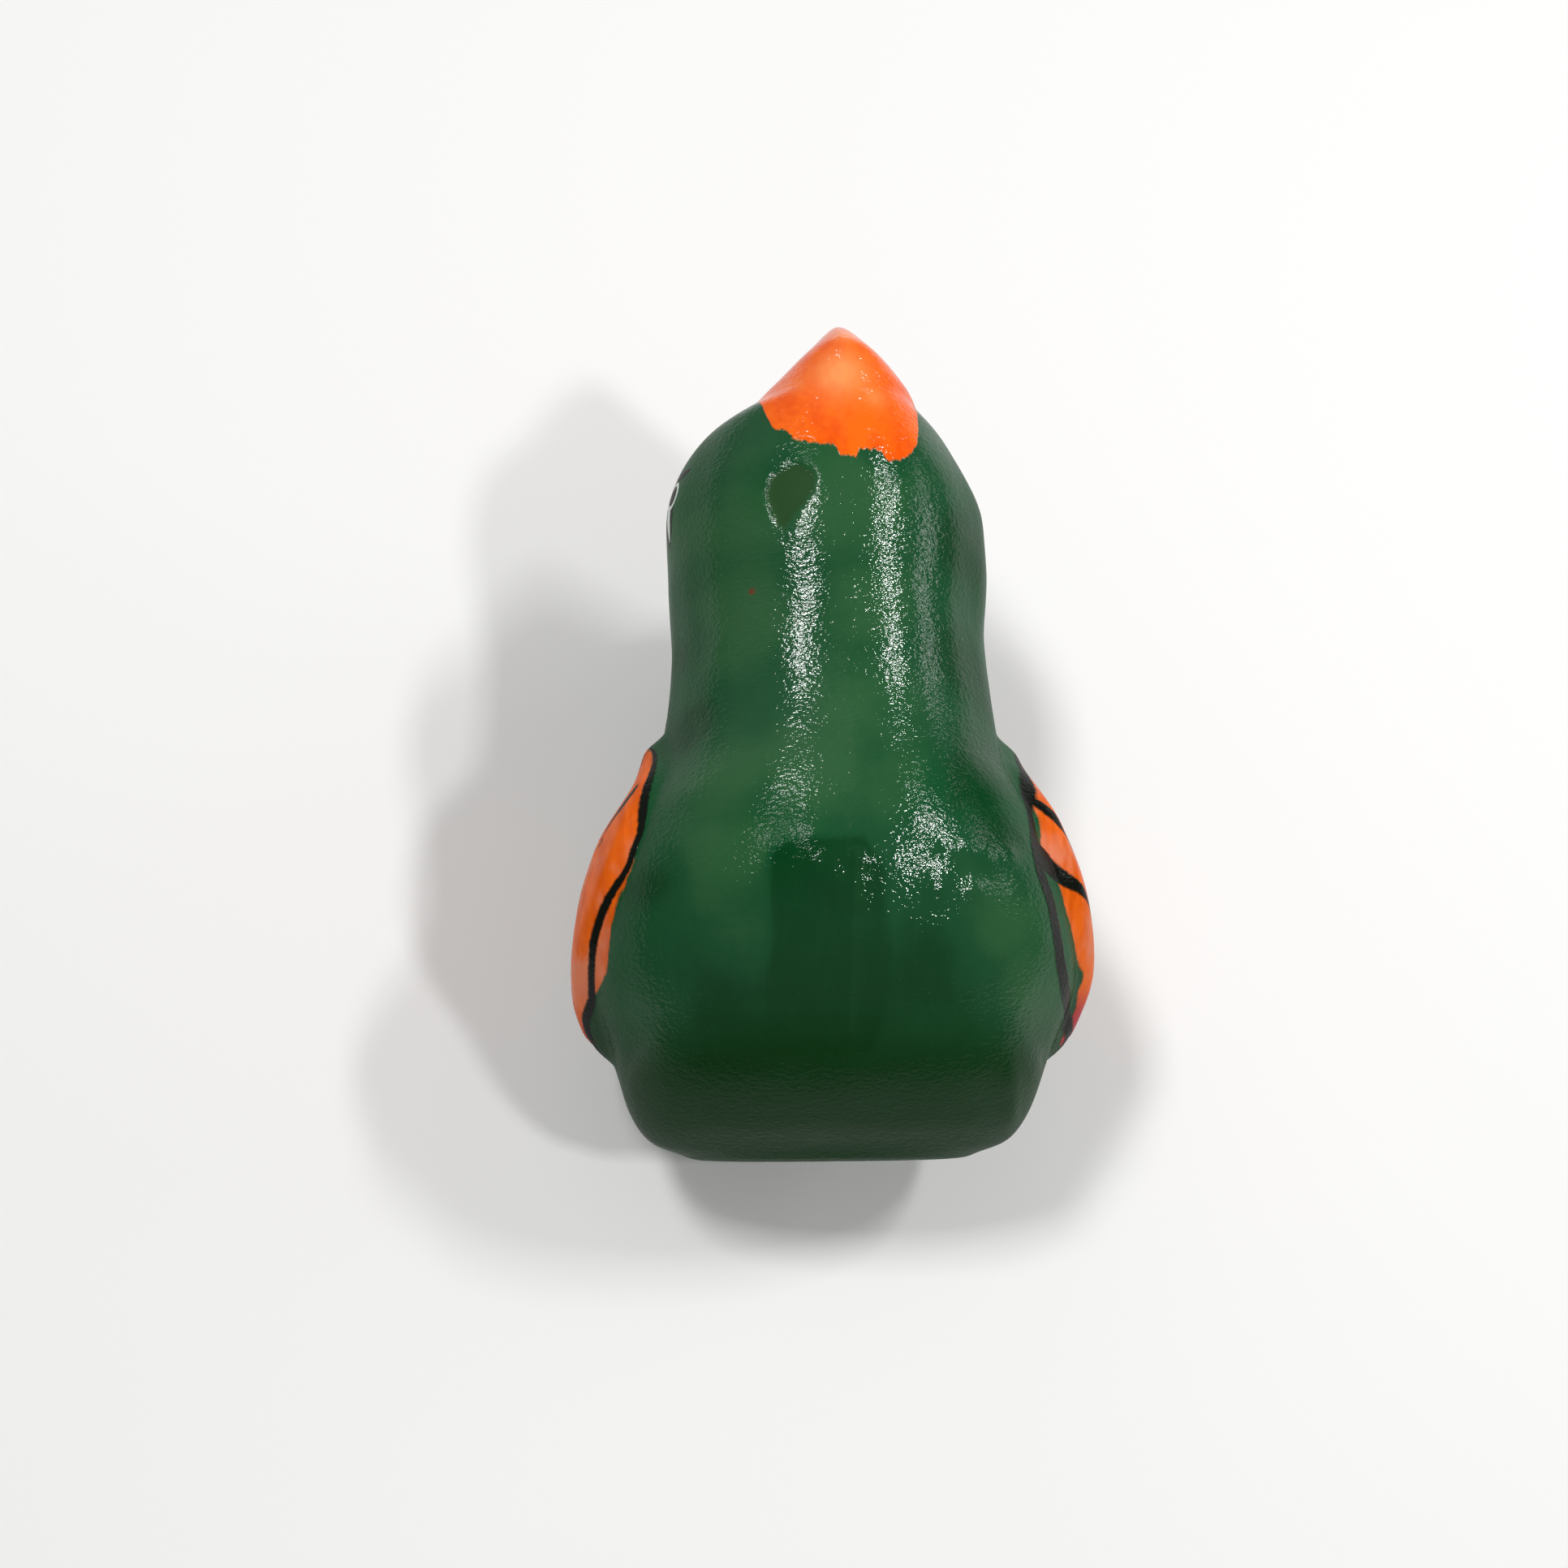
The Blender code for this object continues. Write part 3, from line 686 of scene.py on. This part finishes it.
def paint_fields(points):
    """What the paint's material reads at each point of the surface.

    Most fields say how far inside a patch of paint the point lies, in millimetres. "edge" counts
    half-widths of the wing's line, and "worn", "tone", "handled", "low" and "dull" are strengths.
    """
    x, y, z = points[:, 0], points[:, 1], points[:, 2]
    fields = {}
    for make_fields in (beak_fields, wing_fields, eye_fields, back_fields, handling_and_shade_fields):
        fields.update(make_fields(x, y, z))
    return fields


def store_fields(piece):
    count = len(piece.data.vertices)
    points = np.empty(count * 3)
    piece.data.vertices.foreach_get("co", points)
    for name, values in paint_fields(points.reshape(-1, 3) / MM).items():
        layer = piece.data.attributes.new(name, "FLOAT", "POINT")
        layer.data.foreach_set("value", np.clip(values, FAR_OUTSIDE, -FAR_OUTSIDE).astype(np.float32))


def srgb(red, green, blue):
    """A colour as picked from a picture, 0 to 255, turned into the linear values that shaders take."""
    shares = [value / 255 for value in (red, green, blue)]
    return (*(v / 12.92 if v <= 0.04045 else ((v + 0.055) / 1.055) ** 2.4 for v in shares), 1.0)


# Colours of the paint. The deep and low greens also serve as painted shade, the pale green and pale beak
# orange as painted highlights
GREEN = srgb(20, 76, 42)
GREEN_DEEP_AND_SHADE = srgb(8, 62, 28)
GREEN_PALE_AND_SHEEN = srgb(42, 90, 52)
GREEN_PAINTED_SHADE = srgb(16, 50, 14)
GREEN_CHIP = srgb(48, 76, 44)
BEAK_ORANGE = srgb(252, 106, 8)
BEAK_DEEP = srgb(238, 84, 2)
BEAK_PALE_HIGHLIGHT = srgb(255, 152, 84)
WING_ORANGE = srgb(236, 104, 22)
WING_DEEP = srgb(216, 88, 8)
CORAL = srgb(224, 134, 100)
MAGENTA = srgb(176, 40, 52)
LINE_BLACK = srgb(14, 18, 12)
EYE_WHITE = srgb(214, 222, 214)
SPECK_RED = srgb(120, 28, 20)
RAW_CLAY = srgb(150, 92, 64)
RAW_CLAY_DARK = srgb(112, 64, 44)
FLOOR_WHITE = srgb(246, 246, 245)


class Graph:
    """A short way to write a material's nodes."""

    def __init__(self, name):
        self.material = bpy.data.materials.new(name)
        self.material.use_nodes = True
        self.nodes = self.material.node_tree.nodes
        self.links = self.material.node_tree.links
        self.shader = self.nodes["Principled BSDF"]
        self.place = self.nodes.new("ShaderNodeTexCoord").outputs["Object"]

    def put(self, socket, value):
        if isinstance(value, bpy.types.NodeSocket):
            self.links.new(value, socket)
        else:
            socket.default_value = value

    def math(self, operation, a, b=0.0, c=0.0, clamp=False):
        node = self.nodes.new("ShaderNodeMath")
        node.operation = operation
        node.use_clamp = clamp
        for socket, value in zip(node.inputs, (a, b, c)):
            self.put(socket, value)
        return node.outputs[0]

    def mix(self, amount, a, b):
        node = self.nodes.new("ShaderNodeMix")
        node.data_type = "RGBA"
        self.put(node.inputs["Factor"], amount)
        self.put(node.inputs[6], a)
        self.put(node.inputs[7], b)
        return node.outputs[2]

    def noise(self, length, detail=3.0, roughness=0.5, stretch=(1, 1, 1), shift=0.0):
        """Noise from 0 to 1 whose lumps are about this many millimetres long, longer where stretched."""
        mapping = self.nodes.new("ShaderNodeMapping")
        self.put(mapping.inputs["Vector"], self.place)
        mapping.inputs["Scale"].default_value = [1 / (length * MM * s) for s in stretch]
        mapping.inputs["Location"].default_value = (shift, shift, shift)
        node = self.nodes.new("ShaderNodeTexNoise")
        self.put(node.inputs["Vector"], mapping.outputs[0])
        node.inputs["Scale"].default_value = 1.0
        node.inputs["Detail"].default_value = detail
        node.inputs["Roughness"].default_value = roughness
        return node.outputs["Fac"]

    def field(self, name):
        node = self.nodes.new("ShaderNodeAttribute")
        node.attribute_type = "GEOMETRY"
        node.attribute_name = name
        return node.outputs["Fac"]

    def patch(self, name, soft, wobble, wobble_amount):
        """1 inside a patch of paint and 0 outside, with a brushed edge."""
        moved = self.math("MULTIPLY_ADD", wobble, wobble_amount, self.field(name))
        centred = self.math("SUBTRACT", moved, wobble_amount / 2)
        return self.math("MULTIPLY_ADD", centred, 1 / soft, 0.5, clamp=True)

    def ramp(self, value, low, high):
        """0 at low and below, 1 at high and above."""
        node = self.nodes.new("ShaderNodeMapRange")
        node.interpolation_type = "SMOOTHSTEP"
        self.put(node.inputs["Value"], value)
        node.inputs["From Min"].default_value = low
        node.inputs["From Max"].default_value = high
        return node.outputs[0]

    def bump(self, height, distance, normal=None):
        node = self.nodes.new("ShaderNodeBump")
        node.inputs["Strength"].default_value = 1.0
        node.inputs["Distance"].default_value = distance
        self.put(node.inputs["Height"], height)
        if normal is not None:
            self.put(node.inputs["Normal"], normal)
        return node.outputs[0]


# The heights of the paint's edges, of the waves in the lacquer and of its fine grain
PAINT_HEIGHT = 0.03
PEEL_HEIGHT = 0.05
GRAIN_HEIGHT = 0.068
# The gloss of the paint and of the clear coat
PAINT_ROUGHNESS = 0.42
COAT_ROUGHNESS = 0.07
COAT_IOR = 1.5
# The share of the lacquer that handling takes away
COAT_WORN_OFF = 0.72


def green_coat(g, brush, ragged, fine, dent):
    """The green, with painted sheen and shade in paler and deeper patches, a painted seam highlight and a
    chip in the dent.
    """
    patches = g.noise(7.0, 3, 0.5, shift=11.0)
    # Painted sheen and painted shade: paler and deeper patches of the green, mixed with patches that differ
    # at random
    tone_sheen_and_shade = g.math("MULTIPLY_ADD", g.field("tone_sheen_and_shade"), 0.55, g.math("MULTIPLY_ADD", patches, 1.1, -0.55))
    tone_sheen_and_shade = g.math("ADD", tone_sheen_and_shade, g.math("MULTIPLY_ADD", fine, 0.16, -0.08))
    green = g.mix(g.ramp(tone_sheen_and_shade, -0.5, 0.0), GREEN_DEEP_AND_SHADE, GREEN)
    green = g.mix(g.ramp(tone_sheen_and_shade, 0.0, 0.6), green, GREEN_PALE_AND_SHEEN)
    green = g.mix(g.math("MULTIPLY", g.ramp(brush, 0.45, 0.8), 0.1), green, GREEN_PALE_AND_SHEEN)
    # Painted shade: the green darkens low down and toward the tail
    green = g.mix(g.math("MULTIPLY", g.field("low"), 0.75), green, GREEN_PAINTED_SHADE)
    # Painted highlight: a paler line along the seam on the back
    seam = g.math("MULTIPLY", g.patch("seam", 0.5, ragged, 0.5), 0.16)
    green = g.mix(seam, green, GREEN_PALE_AND_SHEEN)
    return g.mix(g.math("MULTIPLY", dent, 0.85), green, GREEN_CHIP)


def wing_paint(g, brush, drifts):
    """Brushed orange, coral in drifts, and magenta at the rear tip."""
    paint = g.mix(g.ramp(brush, 0.35, 0.65), WING_DEEP, WING_ORANGE)
    paint = g.mix(g.math("MULTIPLY", g.ramp(drifts, 0.48, 0.68), 0.75), paint, CORAL)
    tip = g.ramp(g.math("MULTIPLY_ADD", brush, 4.0, g.field("tip")), 1.0, 4.5)
    return g.mix(tip, paint, MAGENTA)


def wing_lines(g, fine):
    """1 on the black lines and strokes of the wings, and 0 elsewhere."""
    offset = g.math("MULTIPLY_ADD", fine, 0.7, g.math("SUBTRACT", g.field("edge"), 0.35))
    edge = g.math("MULTIPLY_ADD", g.math("ABSOLUTE", offset), -2.0, 2.5, clamp=True)
    edge = g.math("MULTIPLY", edge, g.ramp(g.field("edge_near"), 0.2, 0.5))
    return g.math("MAXIMUM", edge, g.patch("stroke", 0.14, fine, 0.16))


def beak_paint(g, ragged, fine, drifts):
    """Orange in drifts, paler where a highlight and some wear are painted on the ridge."""
    drift = g.ramp(g.math("MULTIPLY_ADD", fine, 0.4, drifts), 0.5, 0.85)
    # Painted highlight with some wear: the beak's orange turns paler in these patches
    wear_and_highlight = g.math("MULTIPLY", g.field("wear_and_highlight"), g.math("MULTIPLY_ADD", ragged, 0.8, 0.65), clamp=True)
    return g.mix(wear_and_highlight, g.mix(drift, BEAK_DEEP, BEAK_ORANGE), BEAK_PALE_HIGHLIGHT)


def eye_white(g, fine):
    """1 on the white ring of the eye and the white tail behind it, and 0 elsewhere."""
    inside = g.math("SUBTRACT", EYE_RING_HALF_WIDTH, g.math("ABSOLUTE", g.field("ring")))
    circle = g.math("MULTIPLY_ADD", inside, 1 / EYE_RING_SOFTNESS, 0.5, clamp=True)
    return g.math("MAXIMUM", circle, g.patch("white", 0.14, fine, 0.14))


def finish_surface(g, thickness, dent):
    """The relief of the paint, and a clear coat that is thin where handled and gone in the dent."""
    grain = g.noise(0.36, 2, 0.6, (1.4, 0.8, 1.0), 2.0)
    peel = g.noise(1.6, 2, 0.5, shift=4.0)
    normal = g.bump(peel, PEEL_HEIGHT * MM, g.bump(thickness, PAINT_HEIGHT * MM))
    g.put(g.shader.inputs["Normal"], normal)
    g.put(g.shader.inputs["Coat Normal"], g.bump(grain, GRAIN_HEIGHT * MM, normal))
    kept = g.math("MULTIPLY_ADD", g.field("handled"), -COAT_WORN_OFF, 1.0)
    kept = g.math("MULTIPLY", kept, g.math("SUBTRACT", 1.0, g.math("MAXIMUM", g.field("dull"), dent)))
    g.put(g.shader.inputs["Coat Weight"], kept)
    g.shader.inputs["Coat Roughness"].default_value = COAT_ROUGHNESS
    g.shader.inputs["Coat IOR"].default_value = COAT_IOR
    g.shader.inputs["Roughness"].default_value = PAINT_ROUGHNESS
    g.shader.inputs["Specular IOR Level"].default_value = 0.0


def painted_clay():
    """Green lacquer over clay, with brushed orange, coral, black and white on top and one clear coat."""
    g = Graph("painted_clay")
    brush = g.noise(1.0, 4, 0.55, (0.8, 5, 3))
    ragged = g.noise(0.9, 4, 0.6, (0.6, 1.2, 1.2), 3.0)
    fine = g.noise(0.5, 3, 0.6, shift=7.0)
    drifts = g.noise(3.2, 3, 0.55, (1, 2, 2), 5.0)
    dent = g.patch("dent", 0.45, ragged, 0.5)
    wing = g.patch("wing", 0.2, ragged, 0.5)
    line = wing_lines(g, fine)
    beak = g.patch("beak", 0.22, ragged, 1.0)
    eye = g.patch("eye", 0.14, fine, 0.14)
    white = eye_white(g, fine)
    speck = g.patch("speck", 0.2, fine, 0.3)

    colour = green_coat(g, brush, ragged, fine, dent)
    colour = g.mix(wing, colour, wing_paint(g, brush, drifts))
    colour = g.mix(line, colour, LINE_BLACK)
    colour = g.mix(beak, colour, beak_paint(g, ragged, fine, drifts))
    colour = g.mix(eye, colour, LINE_BLACK)
    colour = g.mix(white, colour, EYE_WHITE)
    colour = g.mix(g.math("MULTIPLY", speck, 0.8), colour, SPECK_RED)
    g.put(g.shader.inputs["Base Color"], colour)

    thickness = g.math("ADD", g.math("MULTIPLY", wing, 0.6), beak)
    thickness = g.math("ADD", thickness, line)
    thickness = g.math("ADD", thickness, g.math("ADD", eye, white))
    finish_surface(g, thickness, dent)
    return g.material


# The height of the bare clay's grain
RAW_CLAY_GRAIN = 0.06


def plain_clay():
    """Unpainted fired clay, inside the chamber, the window and the windway."""
    g = Graph("plain_clay")
    speckle = g.noise(0.6, 4, 0.6)
    cloud = g.noise(4.0, 3, 0.5, shift=3.0)
    colour = g.mix(g.ramp(cloud, 0.35, 0.7), RAW_CLAY_DARK, RAW_CLAY)
    colour = g.mix(g.math("MULTIPLY", g.ramp(speckle, 0.55, 0.8), 0.35), colour, RAW_CLAY_DARK)
    g.put(g.shader.inputs["Base Color"], colour)
    g.put(g.shader.inputs["Normal"], g.bump(speckle, RAW_CLAY_GRAIN * MM))
    g.shader.inputs["Roughness"].default_value = 0.85
    return g.material


# The floor's radius, and the distances between which it turns into the backdrop, in metres
FLOOR_RADIUS = 3.0
FLOOR_FADE = (0.13, 0.5)


def floor_material():
    """A matt pale floor that turns into the white backdrop further out, for the camera alone."""
    g = Graph("floor_white")
    g.shader.inputs["Base Color"].default_value = FLOOR_WHITE
    g.shader.inputs["Roughness"].default_value = 0.9
    g.shader.inputs["Specular IOR Level"].default_value = 0.1
    out = g.nodes.new("ShaderNodeVectorMath")
    out.operation = "LENGTH"
    g.put(out.inputs[0], g.place)
    far = g.ramp(out.outputs["Value"], *FLOOR_FADE)
    seen = g.nodes.new("ShaderNodeLightPath").outputs["Is Camera Ray"]
    backdrop = g.nodes.new("ShaderNodeEmission")
    mixed = g.nodes.new("ShaderNodeMixShader")
    g.put(mixed.inputs[0], g.math("MULTIPLY", far, seen))
    g.put(mixed.inputs[1], g.shader.outputs[0])
    g.put(mixed.inputs[2], backdrop.outputs[0])
    g.put(g.nodes["Material Output"].inputs["Surface"], mixed.outputs[0])
    return g.material


def make_floor():
    bm = bmesh.new()
    bmesh.ops.create_circle(bm, cap_ends=True, segments=96, radius=FLOOR_RADIUS)
    floor = new_object("studio_floor", bm)
    floor.data.materials.append(floor_material())


# The camera, as it stood in the photograph, which is FRAME pixels square and shows BIRD_POINT at BIRD_PIXEL
FRAME = 1932
BIRD_PIXEL = (1017.3, 935.5)
BIRD_POINT = Vector((0, 0.27 * MM, 19 * MM))
CAMERA_DISTANCE = 195 * MM
CAMERA_ELEVATION = math.radians(70)
CAMERA_ROLL = math.radians(7)
CAMERA_TURN = math.radians(2.05)
CAMERA_FIELD = math.radians(36.5)
SENSOR_WIDTH = 36


def make_camera():
    focal = FRAME / 2 / math.tan(CAMERA_FIELD / 2)
    back = Vector((-math.sin(CAMERA_ROLL) * math.sin(CAMERA_ELEVATION), -math.cos(CAMERA_ELEVATION),
                   math.sin(CAMERA_ELEVATION) * math.cos(CAMERA_ROLL))).normalized()
    up = (Vector((0, 1, 0)) - back.y * back).normalized()
    right = up.cross(back)
    turned_up = up * math.cos(CAMERA_TURN) + right * math.sin(CAMERA_TURN)
    right = right * math.cos(CAMERA_TURN) - up * math.sin(CAMERA_TURN)
    up = turned_up
    across = (FRAME / 2 - BIRD_PIXEL[0]) / focal
    down = (FRAME / 2 - BIRD_PIXEL[1]) / focal
    aim = (-back + right * across - up * down).normalized()
    side = aim.cross(up).normalized()
    top = side.cross(aim)
    rotation = Matrix((side, top, -aim)).transposed()
    data = bpy.data.cameras.new("photo_camera")
    data.sensor_width = SENSOR_WIDTH
    data.sensor_fit = "HORIZONTAL"
    data.lens = SENSOR_WIDTH / 2 / math.tan(CAMERA_FIELD / 2)
    data.clip_start = 0.01
    camera = bpy.data.objects.new("photo_camera", data)
    camera.matrix_world = Matrix.Translation(BIRD_POINT + back * CAMERA_DISTANCE) @ rotation.to_4x4()
    bpy.context.scene.collection.objects.link(camera)
    bpy.context.scene.camera = camera


LIGHT_DISTANCE = 0.5
LIGHT_TARGET = Vector((0, 0, 0.025))
# Each lamp: where it stands seen from the bird, its width and length in metres, and its power in watts
LAMPS = {
    "left_window": ((-0.35, 0.22, 0.91), 0.075, 0.11, 1.1),
    "right_window": ((0.56, 0.25, 0.78), 0.032, 0.10, 0.75),
    "side_window": ((0.89, 0.22, 0.40), 0.03, 0.30, 0.25),
    "back_window": ((0.47, -0.26, 0.84), 0.04, 0.045, 0.65),
    "soft_top": ((-0.5, 0.65, 0.57), 0.80, 0.60, 0.25),
}


def make_lamps():
    for name, (way, width, length, power) in LAMPS.items():
        data = bpy.data.lights.new(name, "AREA")
        data.shape = "RECTANGLE"
        data.size = width
        data.size_y = length
        data.energy = power
        lamp = bpy.data.objects.new(name, data)
        way = Vector(way).normalized()
        lamp.location = LIGHT_TARGET + way * LIGHT_DISTANCE
        side = Vector((0, 1, 0)).cross(way).normalized()
        lamp.matrix_world = Matrix.Translation(lamp.location) @ Matrix(
            (side, way.cross(side), way)).transposed().to_4x4()
        bpy.context.scene.collection.objects.link(lamp)


# How bright the world is as a light, and how bright it looks behind the floor
WORLD_STRENGTH = 0.16
BACKDROP_STRENGTH = 1.0


def make_world():
    """Even light from all round, and for the camera alone a white backdrop."""
    world = bpy.data.worlds.new("studio")
    bpy.context.scene.world = world
    world.use_nodes = True
    nodes, links = world.node_tree.nodes, world.node_tree.links
    sky = nodes["Background"]
    sky.inputs["Color"].default_value = (1, 1, 1, 1)
    sky.inputs["Strength"].default_value = WORLD_STRENGTH
    backdrop = nodes.new("ShaderNodeBackground")
    backdrop.inputs["Color"].default_value = (1, 1, 1, 1)
    backdrop.inputs["Strength"].default_value = BACKDROP_STRENGTH
    path = nodes.new("ShaderNodeLightPath")
    chosen = nodes.new("ShaderNodeMixShader")
    links.new(path.outputs["Is Camera Ray"], chosen.inputs[0])
    links.new(sky.outputs[0], chosen.inputs[1])
    links.new(backdrop.outputs[0], chosen.inputs[2])
    links.new(chosen.outputs[0], nodes["World Output"].inputs[0])


def main():
    bird = hollowed_bird(painted_clay(), plain_clay())
    store_fields(bird)
    bird.data.shade_smooth()
    bird.data.set_sharp_from_angle(angle=math.radians(50))
    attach(bird, "root")
    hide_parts("bird_whistle")
    make_floor()
    make_lamps()
    make_world()
    make_camera()
    bpy.context.scene.view_settings.view_transform = "Standard"


main()
